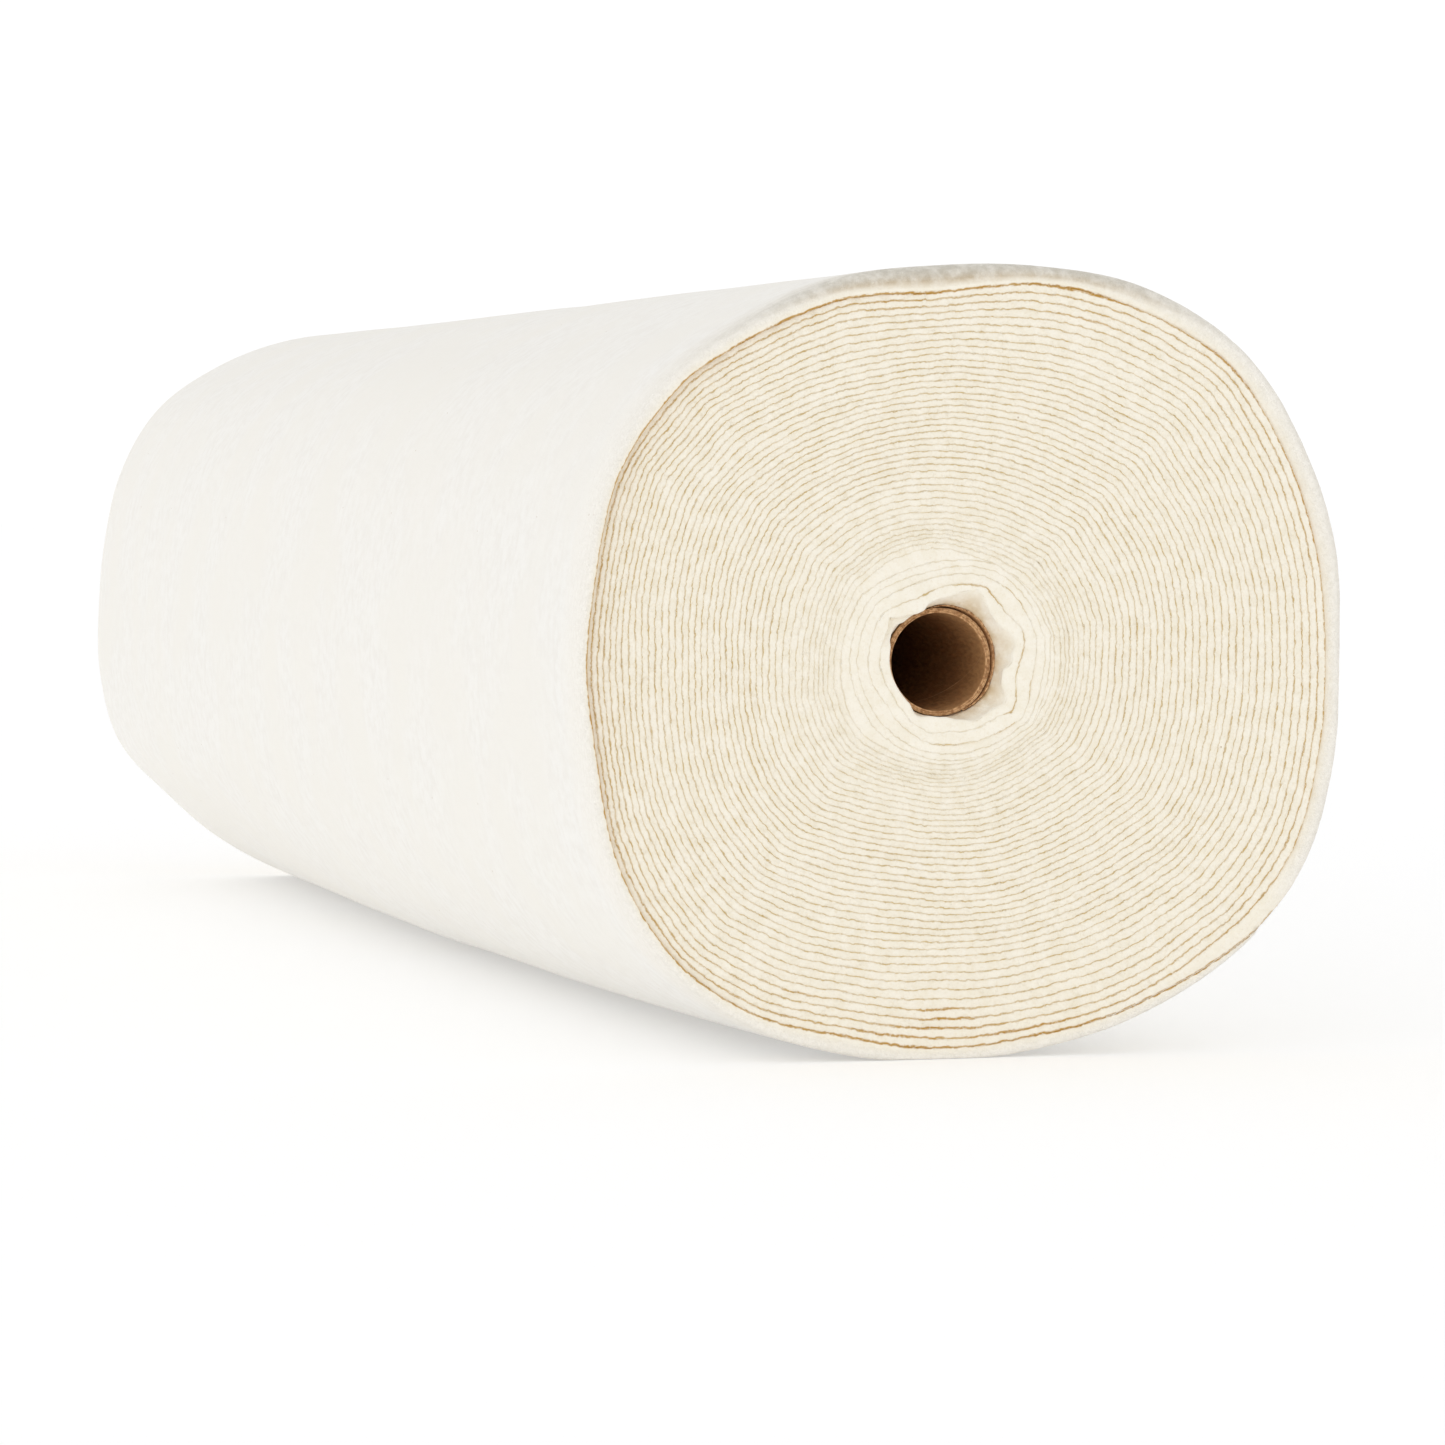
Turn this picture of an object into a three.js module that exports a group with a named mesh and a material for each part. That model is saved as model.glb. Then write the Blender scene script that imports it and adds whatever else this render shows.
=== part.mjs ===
// Roll of quilt batting: one sheet wound on a cardboard tube, lying on its side on a floor.
// Millimetres, +Z up, the roll's axis along Y with its near end towards -Y.
// The origin is on the floor, under the middle of the roll's box.
import * as THREE from 'three';

// Driving sizes
const SHEET_WIDTH = 1143;
const SHEET_THICKNESS = 3;
const TUBE_BORE_DIAMETER = 38.1;
const TUBE_WALL = 1.95;
const TUBE_RECESS = 4;
const SEAT_GAP = 0.3;
const AXIS = { x: -10.46, z: 154 };

// Rounding of the roll's outer edge at each end, deeper along the roll than across it
const RIM = { depth: 7, inset: 4.5, steps: 4 };

// The outer end of the sheet, an edge along the whole roll at its lower right.
// The sheet under it is pressed in over the blend angle, and the last stretch stands proud of it.
const LOOSE_END = { angle: 317, blend: 24, edgeLean: 0.4 };

// Number of points round a section and of sections along the roll
const SECTION_POINTS = 92;
const BODY_SECTIONS = 11;
const TUBE_SIDES = 64;

// Radii from the tube's centre line, by the angle from +X towards +Z.
// near, middle and far are the roll's outline at its near end, mid length and far end.
// hollow is the wound sheet's inside, which bears on the tube where it is no larger than the tube.
const OUTLINE = [
  { angle: 0, near: 166.5, middle: 165.5, far: 164.0, hollow: 24.8 },
  { angle: 15, near: 169.7, middle: 168.0, far: 166.5, hollow: 24.3 },
  { angle: 30, near: 172.3, middle: 170.5, far: 169.0, hollow: 24.4 },
  { angle: 45, near: 174.2, middle: 172.5, far: 170.5, hollow: 24.8 },
  { angle: 60, near: 168.6, middle: 167.5, far: 166.5, hollow: 25.0 },
  { angle: 75, near: 159.2, middle: 158.5, far: 158.5, hollow: 23.6 },
  { angle: 90, near: 153.6, middle: 153.5, far: 154.5, hollow: 21.0 },
  { angle: 105, near: 153.6, middle: 153.5, far: 154.5, hollow: 21.0 },
  { angle: 120, near: 152.4, middle: 153.5, far: 155.5, hollow: 22.6 },
  { angle: 135, near: 154.4, middle: 155.5, far: 157.0, hollow: 23.2 },
  { angle: 150, near: 152.2, middle: 152.0, far: 152.5, hollow: 21.4 },
  { angle: 165, near: 146.3, middle: 146.0, far: 146.5, hollow: 21.0 },
  { angle: 180, near: 144.8, middle: 144.5, far: 145.0, hollow: 21.0 },
  { angle: 195, near: 145.7, middle: 147.5, far: 149.5, hollow: 21.0 },
  { angle: 210, near: 153.1, middle: 156.0, far: 154.0, hollow: 21.0 },
  { angle: 225, near: 159.1, middle: 161.5, far: 150.5, hollow: 21.0 },
  { angle: 240, near: 160.0, middle: 163.5, far: 152.5, hollow: 21.0 },
  { angle: 255, near: 156.8, middle: 159.5, far: 155.5, hollow: 21.0 },
  { angle: 270, near: 155.4, middle: 155.4, far: 155.4, hollow: 21.2 },
  { angle: 285, near: 157.8, middle: 157.8, far: 157.8, hollow: 23.6 },
  { angle: 300, near: 162.4, middle: 162.4, far: 162.4, hollow: 24.6 },
  { angle: 315, near: 170.6, middle: 169.5, far: 167.5, hollow: 25.0 },
  { angle: 330, near: 173.6, middle: 171.5, far: 169.0, hollow: 27.4 },
  { angle: 345, near: 169.6, middle: 168.0, far: 166.0, hollow: 26.0 },
];

const TUBE_RADIUS = TUBE_BORE_DIAMETER / 2 + TUBE_WALL;
const TUBE_LENGTH = SHEET_WIDTH - 2 * TUBE_RECESS;

const batting = new THREE.MeshStandardMaterial({ color: 0xf6f1e4, roughness: 0.95, metalness: 0 });
const cardboard = new THREE.MeshStandardMaterial({ color: 0xa87b4f, roughness: 0.85, metalness: 0 });

const polar = (radius, degrees) => {
  const angle = THREE.MathUtils.degToRad(degrees);
  return new THREE.Vector3(radius * Math.cos(angle), 0, radius * Math.sin(angle));
};

// A smooth closed curve round the tube's centre line through one column of the outline.
const columnCurve = (column) => new THREE.CatmullRomCurve3(
  OUTLINE.map((row) => polar(row[column], row.angle)), true, 'centripetal');

const CURVES = {
  near: columnCurve('near'),
  middle: columnCurve('middle'),
  far: columnCurve('far'),
  hollow: columnCurve('hollow'),
};

// The angles of a section's points, once round from the sheet's outer end.
const pointAngle = (index) => LOOSE_END.angle + 360 * index / (SECTION_POINTS - 1);

// How far the outline stands off the smooth curve near the outer end, half a sheet in or out.
const endStep = (index) => {
  const turned = 360 * index / (SECTION_POINTS - 1);
  const pressedIn = 1 - THREE.MathUtils.smoothstep(turned, 0, LOOSE_END.blend);
  const proud = THREE.MathUtils.smoothstep(turned, 360 - LOOSE_END.blend, 360);
  return SHEET_THICKNESS / 2 * (proud - pressedIn);
};

// A point of one curve at an angle. The rows are evenly spaced, so the angle gives the curve's place.
const curvePoint = (curve, angle) => curve.getPoint((((angle % 360) + 360) % 360) / 360);

// The outline's radius at an angle and at a share of the way from the near end to the far end.
const outerRadius = (angle, share) => {
  const [near, middle, far] = [CURVES.near, CURVES.middle, CURVES.far]
    .map((curve) => curvePoint(curve, angle).length());
  const nearWeight = 2 * (share - 0.5) * (share - 1);
  const middleWeight = 4 * share * (1 - share);
  const farWeight = 2 * share * (share - 0.5);
  return near * nearWeight + middle * middleWeight + far * farWeight;
};

// One ring of the roll's outside, drawn in by an inset at the rims and flat on the floor.
const outsideRing = (y, inset) => {
  const share = y / SHEET_WIDTH + 0.5;
  const ring = [];
  for (let index = 0; index < SECTION_POINTS; index += 1) {
    const lean = index === 0 ? LOOSE_END.edgeLean : 0;
    const angle = pointAngle(index) + lean;
    const point = polar(outerRadius(angle, share) + endStep(index) - inset, angle);
    point.x += AXIS.x;
    point.y = y;
    point.z = Math.max(point.z + AXIS.z, 0);
    ring.push(point);
  }
  return ring;
};

// One ring of the roll's inside. It bears on the tube with the seat gap between them.
const insideRing = (y) => {
  const ring = [];
  for (let index = 0; index < SECTION_POINTS; index += 1) {
    const lean = index === 0 ? LOOSE_END.edgeLean : 0;
    const angle = pointAngle(index) + lean;
    const radius = Math.max(curvePoint(CURVES.hollow, angle).length(), TUBE_RADIUS + SEAT_GAP);
    const point = polar(radius, angle);
    ring.push(point.add(new THREE.Vector3(AXIS.x, y, AXIS.z)));
  }
  return ring;
};

// The rings over a rounded rim, from the end face to the side, or the other way round.
const rimRings = (end, fromFace) => {
  const rings = [];
  for (let step = 0; step <= RIM.steps; step += 1) {
    const turn = (fromFace ? step : RIM.steps - step) / RIM.steps * Math.PI / 2;
    const y = end * (SHEET_WIDTH / 2 - RIM.depth * (1 - Math.cos(turn)));
    rings.push(outsideRing(y, RIM.inset * (1 - Math.sin(turn))));
  }
  return rings;
};

// A closed band of rings, each joined to the next and the last to the first.
const bandGeometry = (rings) => {
  const positions = rings.flatMap((ring) => ring.flatMap((point) => point.toArray()));
  const count = SECTION_POINTS;
  const indices = [];
  for (let row = 0; row < rings.length; row += 1) {
    const nextRow = (row + 1) % rings.length;
    for (let index = 0; index < count; index += 1) {
      const nextIndex = (index + 1) % count;
      const a = row * count + index;
      const b = row * count + nextIndex;
      const c = nextRow * count + nextIndex;
      const d = nextRow * count + index;
      indices.push(a, c, b, a, d, c);
    }
  }
  const geometry = new THREE.BufferGeometry();
  geometry.setAttribute('position', new THREE.Float32BufferAttribute(positions, 3));
  geometry.setIndex(indices);
  return geometry;
};

// The wound sheet as one solid: near face, rim, side, rim, far face, and the hollow back through it.
const woundSheet = () => {
  const sideLength = SHEET_WIDTH - 2 * RIM.depth;
  const side = [];
  for (let section = 1; section < BODY_SECTIONS; section += 1) {
    side.push(outsideRing(-sideLength / 2 + sideLength * section / BODY_SECTIONS, 0));
  }
  const rings = [
    insideRing(-SHEET_WIDTH / 2),
    ...rimRings(-1, true),
    ...side,
    ...rimRings(1, false),
    insideRing(SHEET_WIDTH / 2),
  ];
  const mesh = new THREE.Mesh(bandGeometry(rings), batting);
  mesh.name = 'batting_roll';
  return mesh;
};

// The cardboard tube that the sheet is wound on, its ends a little inside the roll's faces.
const coreTube = () => {
  const inner = TUBE_BORE_DIAMETER / 2;
  const half = TUBE_LENGTH / 2;
  const profile = [
    new THREE.Vector2(inner, -half),
    new THREE.Vector2(TUBE_RADIUS, -half),
    new THREE.Vector2(TUBE_RADIUS, half),
    new THREE.Vector2(inner, half),
    new THREE.Vector2(inner, -half),
  ];
  const mesh = new THREE.Mesh(new THREE.LatheGeometry(profile, TUBE_SIDES), cardboard);
  mesh.name = 'core_tube';
  mesh.position.set(AXIS.x, 0, AXIS.z);
  return mesh;
};

const roll = new THREE.Group();
roll.add(woundSheet());
roll.add(coreTube());

export default roll;
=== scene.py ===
"""Looks of a roll of quilt batting: one long sheet wound on a cardboard tube, lying on its side.

Metres, +Z up, the roll's axis along Y with its near end towards -Y, its middle above the origin.
The tables are in millimetres and are turned into metres where they are read.
"""
import itertools
import math

import bpy
import numpy as np
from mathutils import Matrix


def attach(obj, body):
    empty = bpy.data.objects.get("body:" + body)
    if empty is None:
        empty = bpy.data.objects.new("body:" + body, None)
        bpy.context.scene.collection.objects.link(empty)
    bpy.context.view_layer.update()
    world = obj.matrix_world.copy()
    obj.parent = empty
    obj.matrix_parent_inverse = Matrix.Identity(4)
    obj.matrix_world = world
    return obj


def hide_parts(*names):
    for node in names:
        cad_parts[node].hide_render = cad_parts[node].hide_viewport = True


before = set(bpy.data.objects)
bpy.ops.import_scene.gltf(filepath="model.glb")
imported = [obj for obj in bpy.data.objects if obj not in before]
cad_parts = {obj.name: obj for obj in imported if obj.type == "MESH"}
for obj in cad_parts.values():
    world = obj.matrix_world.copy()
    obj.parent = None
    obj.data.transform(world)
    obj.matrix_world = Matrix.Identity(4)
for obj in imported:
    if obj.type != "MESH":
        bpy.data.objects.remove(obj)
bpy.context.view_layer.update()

MM = 0.001

# Driving sizes, the same as the solids'
SHEET_WIDTH = 1143 * MM
TUBE_BORE = 19.05 * MM
TUBE_RADIUS = 21.0 * MM
TUBE_RECESS = 4 * MM
SEAT_GAP = 0.3 * MM
AXIS_X = -10.46 * MM
AXIS_Z = 154 * MM
NEAR_Y = -SHEET_WIDTH / 2
FAR_Y = SHEET_WIDTH / 2

# The winding: the sheet's inner end, its outer end at the lower right, and the whole turns between
INNER_END_ANGLE = 140
OUTER_END_ANGLE = 321
WHOLE_TURNS = 46
TURNS = WHOLE_TURNS + (OUTER_END_ANGLE - INNER_END_ANGLE) / 360
END_THICKNESS = 0.8 * MM
END_BLEND_ANGLE = 24

# Radii by the angle from +X towards +Z: of the roll's outline at its near end, mid length and far
# end, and of the wound layers at the near end. Each of those columns is a closed curve so many turns
# in from the seat of the outermost turn; the hollow is the inside of the first turn, round the tube.
# The lip is how far the outermost turn stands out past the others, and the last column how much
# painted grey shade lies on its rim, most along the top, where the least light falls.
LAYER_COLUMNS = ("angle", "near", "middle", "far", "seat", "turn_9", "turn_18", "turn_27", "turn_36",
                 "turn_41", "hollow", "lip", "painted_shade")
LAYER_DEPTHS = {"seat": 0, "turn_9": 9, "turn_18": 18, "turn_27": 27, "turn_36": 36, "turn_41": 41,
                "hollow": TURNS}
LAYER_ROWS = (
    (0, 166.2, 165.5, 164.0, 161.5, 133.0, 105.8, 80.0, 55.5, 46.0, 24.8, -2.0, 0.35),
    (15, 169.9, 168.0, 166.5, 163.0, 134.2, 107.3, 81.2, 55.9, 45.9, 24.3, -2.0, 0.35),
    (30, 172.3, 170.5, 169.0, 165.4, 135.6, 108.3, 81.6, 56.0, 45.6, 24.4, -1.5, 0.35),
    (45, 174.2, 172.5, 170.5, 166.9, 135.6, 108.4, 81.4, 55.4, 44.0, 24.8, -1.0, 0.35),
    (60, 168.6, 167.5, 166.5, 160.9, 129.9, 103.3, 78.2, 53.6, 42.8, 25.0, -0.5, 0.8),
    (75, 159.2, 158.5, 158.5, 153.6, 124.4, 99.9, 76.4, 52.4, 42.2, 23.6, 0.0, 0.95),
    (90, 153.6, 153.5, 154.5, 144.6, 120.7, 97.8, 76.0, 52.7, 43.0, 21.0, 0.5, 1),
    (105, 153.6, 153.5, 154.5, 146.6, 120.2, 97.6, 76.6, 53.5, 43.1, 21.0, 1.5, 0.9),
    (120, 152.4, 153.5, 155.5, 148.1, 123.1, 99.2, 77.9, 54.3, 43.3, 22.6, 2.5, 0.45),
    (135, 154.4, 155.5, 157.0, 150.5, 127.2, 102.7, 79.5, 54.5, 42.8, 23.2, 3.5, 0.12),
    (150, 152.2, 152.0, 152.5, 149.5, 127.4, 103.1, 78.8, 53.7, 42.4, 21.4, 4.0, 0),
    (165, 146.3, 146.0, 146.5, 144.1, 123.2, 99.6, 76.7, 52.4, 41.6, 21.0, 4.0, 0),
    (180, 144.8, 144.5, 145.0, 142.7, 121.0, 97.0, 75.3, 52.4, 41.8, 21.0, 3.5, 0),
    (195, 145.7, 147.5, 149.5, 143.6, 123.3, 99.2, 76.8, 53.6, 42.0, 21.0, 3.0, 0),
    (210, 153.1, 156.0, 154.0, 150.6, 126.8, 102.1, 78.3, 54.4, 42.8, 21.0, 2.5, 0),
    (225, 159.1, 161.5, 150.5, 155.8, 129.0, 103.3, 77.8, 53.3, 41.8, 21.0, 2.0, 0.1),
    (240, 160.0, 163.5, 152.5, 155.8, 126.2, 98.7, 73.2, 50.3, 40.5, 21.0, 1.0, 0.2),
    (255, 156.8, 159.5, 155.5, 150.2, 120.5, 93.6, 69.3, 48.2, 39.6, 21.0, 0.5, 0.3),
    (270, 155.4, 155.4, 155.4, 150.3, 118.1, 92.8, 69.0, 48.6, 39.9, 21.2, 0.0, 0.3),
    (285, 156.6, 156.6, 156.6, 150.8, 119.3, 94.6, 70.6, 49.3, 40.3, 23.6, -0.5, 0.3),
    (300, 160.8, 160.8, 160.8, 156.0, 123.4, 96.7, 72.1, 49.7, 40.5, 24.6, -1.0, 0.35),
    (315, 166.4, 166.2, 165.5, 160.6, 129.3, 101.7, 75.7, 51.6, 41.9, 25.0, -1.5, 0.35),
    (330, 171.2, 170.0, 168.0, 166.4, 134.4, 107.4, 79.9, 54.3, 44.0, 27.4, -2.0, 0.35),
    (345, 168.8, 167.5, 166.0, 163.5, 133.7, 106.6, 79.9, 55.2, 45.6, 26.0, -2.0, 0.35),
)

# Radii of the first turns' inner surfaces at the near end, folded round the tube. The angles go
# on from the sheet's inner end, and each turn's last radius is the next turn's first.
CORE_COLUMNS = ("angle", "first", "second", "third", "fourth", "fifth")
CORE_ROWS = (
    (140, 21.3, 27.4, 30.6, 34.7, 38.1),
    (150, 21.3, 25.3, 30.3, 34.8, 37.6),
    (165, 21.3, 25.0, 29.4, 33.8, 37.0),
    (180, 21.3, 25.2, 29.8, 34.2, 37.2),
    (195, 21.3, 24.3, 29.0, 33.4, 36.6),
    (208, 21.3, 23.6, 28.1, 33.3, 36.4),
    (218, 21.3, 23.8, 27.3, 33.3, 36.7),
    (230, 21.3, 24.4, 28.6, 33.7, 36.8),
    (242, 22.2, 26.2, 29.8, 34.2, 36.9),
    (252, 21.6, 27.0, 30.9, 34.8, 37.1),
    (260, 21.3, 27.7, 31.6, 35.2, 37.5),
    (275, 21.6, 26.9, 32.2, 35.7, 38.2),
    (285, 23.6, 27.8, 32.5, 36.5, 38.8),
    (297, 25.4, 29.1, 33.9, 37.4, 40.0),
    (308, 26.2, 29.9, 35.3, 38.8, 41.1),
    (318, 27.0, 31.0, 37.2, 40.2, 42.4),
    (326, 29.8, 34.8, 39.2, 41.6, 43.4),
    (337, 27.8, 33.0, 38.4, 41.8, 43.7),
    (345, 26.6, 31.0, 37.3, 41.5, 43.6),
    (354, 26.0, 30.6, 37.3, 41.9, 44.0),
    (365, 28.0, 32.9, 38.6, 42.4, 44.6),
    (374, 31.0, 34.6, 39.5, 42.5, 45.0),
    (379, 29.0, 35.0, 39.4, 42.4, 44.8),
    (385, 28.2, 34.0, 39.2, 42.2, 44.4),
    (395, 27.5, 32.0, 39.0, 42.0, 44.1),
    (405, 27.4, 32.3, 38.8, 41.8, 44.0),
    (420, 31.0, 33.8, 37.8, 41.0, 43.5),
    (432, 27.8, 31.6, 36.0, 39.0, 41.6),
    (444, 24.6, 29.9, 34.0, 37.0, 39.5),
    (458, 22.8, 28.0, 32.5, 35.4, 38.6),
    (473, 21.9, 26.5, 32.1, 35.4, 38.5),
    (482, 22.8, 27.5, 32.7, 36.2, 39.2),
    (492, 24.8, 28.9, 33.9, 37.5, 40.2),
    (500, 27.4, 30.6, 34.7, 38.1, 40.9),
)
CORE_TURNS = 5

# Creases that run out through many turns: their angle, the radii they run between, how far the
# turns stand out there, and the angle over which they fall back on each side.
FOLD_COLUMNS = ("angle", "inner", "outer", "height", "half_span")
FOLD_ROWS = (
    (13, 45, 70, 0.8, 6),
    (44.5, 50, 175, 1.4, 7),
    (107, 128, 148, 1.0, 6),
    (133, 118, 150, 1.4, 7),
    (140.5, 45, 105, 1.3, 9),
    (147, 100, 140, 1.0, 7),
    (193, 44, 68, 0.8, 7),
    (222, 42, 62, 0.9, 8),
    (228.5, 62, 165, 1.3, 8),
    (270, 122, 150, -0.8, 6),
    (320, 112, 165, 0.9, 7),
    (327, 45, 118, 1.1, 8),
    (335, 112, 150, 0.7, 7),
)
FOLD_FADE = 8
FOLD_SHARPNESS = 1.4

# Places where a seat stands open, with painted golden shade in it: the angle, which seat it is in
# from the outermost, its width, and the angle over which it closes on each side.
POCKET_COLUMNS = ("angle", "seat", "width", "half_span")
POCKET_ROWS = (
    (128, 0, 0.22, 24),
    (90, 0, 0.25, 16),
    (22, 0, 0.25, 14),
    (306, 0, 0.20, 16),
    (69, 0, 0.80, 10),
    (43, 0, 0.60, 7),
    (108, 0, 0.12, 8),
    (190, 0, 0.27, 20),
    (262, 0, 0.36, 12),
    (290, 0, 0.33, 12),
    (98, 1, 0.12, 8),
    (263, 1, 0.30, 10),
    (283, 1, 0.24, 12),
    (99, 2, 0.10, 8),
    (270, 2, 0.30, 14),
    (66, 3, 0.18, 8),
    (271, 3, 0.30, 10),
    (270, 4, 0.30, 8),
    (246, 4, 0.18, 7),
    (60, 44, 0.24, 30),
    (5, 44, 0.24, 25),
    (325, 44, 0.22, 25),
    (110, 44, 0.12, 25),
    (275, 44, 0.16, 20),
    (40, 43, 0.10, 16),
    (345, 43, 0.10, 14),
)

# The noises, each with its seed, the size of its features and its height
NOISES = {
    "wave": (3, 24 * MM, 0.5 * MM),
    "ripple": (11, 8 * MM, 0.3 * MM),
    "gap": (17, 12 * MM, 1),
    "side": (31, 85 * MM, 0.5 * MM),
    "near_broad": (23, 34 * MM, 0.8),
    "near_own": (52, 45 * MM, 0.28),
    "far_broad": (37, 34 * MM, 0.8),
    "far_own": (66, 45 * MM, 0.28),
    "tube_rim": (41, 1.6 * MM, 0.25),
    "tube_rim_broad": (42, 5 * MM, 0.25),
    "crumple": (43, 4.5 * MM, 1.9 * MM),
    "ply_rim": (45, 1.3 * MM, 0.3 * MM),
    "ply_stand_off": (46, 4 * MM, 0.2 * MM),
}


def table(columns, rows):
    """A table's columns by name, as arrays."""
    return {name: np.array(values, float) for name, values in zip(columns, zip(*rows))}


LAYERS = table(LAYER_COLUMNS, LAYER_ROWS)
CORE = table(CORE_COLUMNS, CORE_ROWS)
POCKETS = [dict(zip(POCKET_COLUMNS, row)) for row in POCKET_ROWS]
FOLDS = [dict(zip(FOLD_COLUMNS, row)) for row in FOLD_ROWS]


def smoothstep(value, low, high):
    """0 at low, 1 at high and smooth between them."""
    part = np.clip((value - low) / (high - low), 0, 1)
    return part * part * (3 - 2 * part)


def turned_from(angle, middle):
    """How far an angle lies from a middle one, from -180 to 180 degrees."""
    return np.mod(angle - middle + 180, 360) - 180


def periodic(values, angle):
    """A smooth closed curve through evenly spaced values of a full turn, at angles in degrees."""
    count = len(values)
    place = np.mod(angle, 360.0) * count / 360
    index = np.floor(place).astype(int)
    part = place - index
    before, start, end, after = (values[(index + step) % count] for step in (-1, 0, 1, 2))
    square = 2 * before - 5 * start + 4 * end - after
    cube = 3 * (start - end) + after - before
    return start + 0.5 * part * (end - before + part * (square + part * cube))


def noise(name, points):
    """One of the listed noises at points in rows: smooth, and up to about its height to both sides."""
    seed, cell, height = NOISES[name]
    grid = np.asarray(points, float) / cell
    base = np.floor(grid).astype(np.int64)
    part = grid - base
    part = part * part * (3 - 2 * part)
    primes = np.array([73856093, 19349663, 83492791], np.int64)[:grid.shape[1]]
    values = np.zeros(len(grid))
    for corner in itertools.product((0, 1), repeat=grid.shape[1]):
        corner = np.array(corner)
        key = ((base + corner) * primes).sum(axis=1) + seed * 2654435761
        key = (key ^ (key >> 15)) * 2246822519 & 0xFFFFFFFF
        key = (key ^ (key >> 13)) * 3266489917 & 0xFFFFFFFF
        key = key ^ (key >> 16)
        values += np.where(corner, part, 1 - part).prod(axis=1) * (key / 0xFFFFFFFF * 2 - 1)
    return values * height


def table_radius(angle, turns_in):
    """The radius of the layers' curve, so many turns in from the outermost seat."""
    depths = np.array(list(LAYER_DEPTHS.values()))
    curves = np.array([periodic(LAYERS[name], angle) for name in LAYER_DEPTHS])
    slopes = np.gradient(curves, depths, axis=0)
    index = np.clip(np.searchsorted(depths, turns_in, side="right") - 1, 0, len(depths) - 2)
    step = depths[index + 1] - depths[index]
    part = np.clip((turns_in - depths[index]) / step, 0, 1)
    pick = np.arange(len(part))
    start, end = curves[index, pick], curves[index + 1, pick]
    start_slope, end_slope = slopes[index, pick] * step, slopes[index + 1, pick] * step
    square = 3 * (end - start) - 2 * start_slope - end_slope
    cube = 2 * (start - end) + start_slope + end_slope
    return (start + part * (start_slope + part * (square + part * cube))) * MM


def wound_radius(angle, turns_in):
    """The smooth radius of a seat, which is folded round the tube in the first turns."""
    turn = TURNS - turns_in
    index = np.clip(np.floor(turn).astype(int), 0, CORE_TURNS - 1)
    along = CORE["angle"][0] + 360 * (turn - index)
    rings = np.array([np.interp(along, CORE["angle"], CORE[name]) * MM for name in CORE_COLUMNS[1:]])
    folded = rings[index, np.arange(len(turn))]
    return np.where(turn < CORE_TURNS, folded, table_radius(angle, turns_in))


def section_place(angle, radius):
    """Points of a section, measured from the tube's centre line."""
    turn = np.radians(angle)
    return np.stack([radius * np.cos(turn), radius * np.sin(turn)], axis=1)


def line_place(lengths):
    """Points of a noise along a line."""
    return np.stack([lengths, np.zeros(len(lengths))], axis=1)


def put_row(vertices, index, angle, radius, y):
    """Puts one row of vertices round the tube's centre line, none of them under the floor."""
    place = section_place(angle, radius)
    vertices[:, index, 0] = AXIS_X + place[:, 0]
    vertices[:, index, 1] = y
    vertices[:, index, 2] = np.maximum(AXIS_Z + place[:, 1], 0)


def waviness(angle, radius):
    """How far the layers wander from their smooth curves. Neighbours wander together."""
    place = section_place(angle, radius)
    waves = noise("wave", place) + noise("ripple", place)
    folds = np.zeros(len(angle))
    for fold in FOLDS:
        off_angle = np.abs(turned_from(angle, fold["angle"]))
        tent = np.clip(1 - off_angle / fold["half_span"], 0, 1) ** FOLD_SHARPNESS
        reach = smoothstep(radius / MM, fold["inner"] - FOLD_FADE, fold["inner"])
        reach *= 1 - smoothstep(radius / MM, fold["outer"], fold["outer"] + FOLD_FADE)
        folds += fold["height"] * MM * tent * reach
    return waves * smoothstep(radius, 2 * TUBE_RADIUS, 3 * TUBE_RADIUS) + folds


def end_step(angle):
    """The outline's step at the sheet's outer end: half a sheet proud before it, half in after it."""
    turned = np.mod(angle - OUTER_END_ANGLE, 360)
    pressed_in = 1 - smoothstep(turned, 0, END_BLEND_ANGLE)
    proud = smoothstep(turned, 360 - END_BLEND_ANGLE, 360)
    return END_THICKNESS / 2 * (proud - pressed_in)


def outline_radius(angle, share):
    """The roll's outline at an angle and a share of the way from its near end to its far end."""
    near, middle, far = (periodic(LAYERS[name], angle) for name in ("near", "middle", "far"))
    radius = (near * 2 * (share - 0.5) * (share - 1) + middle * 4 * share * (1 - share)
              + far * 2 * share * (share - 0.5))
    return radius * MM + end_step(angle)


# The turn under the sheet's outer end is thick there, and is pressed thin within this part of a turn
PRESSED_TURN = 0.06

# The near rim is round, so its cut edge lies this far inside the outline
RIM_ROUNDING = 0.6 * MM

# The outermost seat wanders this share of what the others do, which is reached so many turns in
CALM = {"share": 0.45, "turns": 3}
JUST_PAST_THE_END = 0.01


def seat_radius(angle, turns_in):
    """The surface between two turns, wandering as the layers do."""
    radius = wound_radius(angle, turns_in)
    calm = CALM["share"] + (1 - CALM["share"]) * smoothstep(turns_in, 0, CALM["turns"])
    radius += waviness(angle, radius) * calm
    start = np.array([OUTER_END_ANGLE], float)
    smooth_start = wound_radius(start, np.zeros(1))
    wavy_start = smooth_start + waviness(start, smooth_start) * CALM["share"]
    rise = outline_radius(start + JUST_PAST_THE_END, 0.0) - RIM_ROUNDING - wavy_start
    return radius + rise * (1 - smoothstep(turns_in, 0, PRESSED_TURN))


# The gaps at the seats. The bottoms of neighbouring turns' grooves overlap by the pressed size, so
# that no seat is open right through.
GAP = {"closed": 0.03 * MM, "pressed": 0.09 * MM, "open": 0.12 * MM,
       "tight": 0.25, "outer_slack": 0.5, "outer_turns": 2.5, "depth": 0.5, "pocket_share": 0.65}


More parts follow.
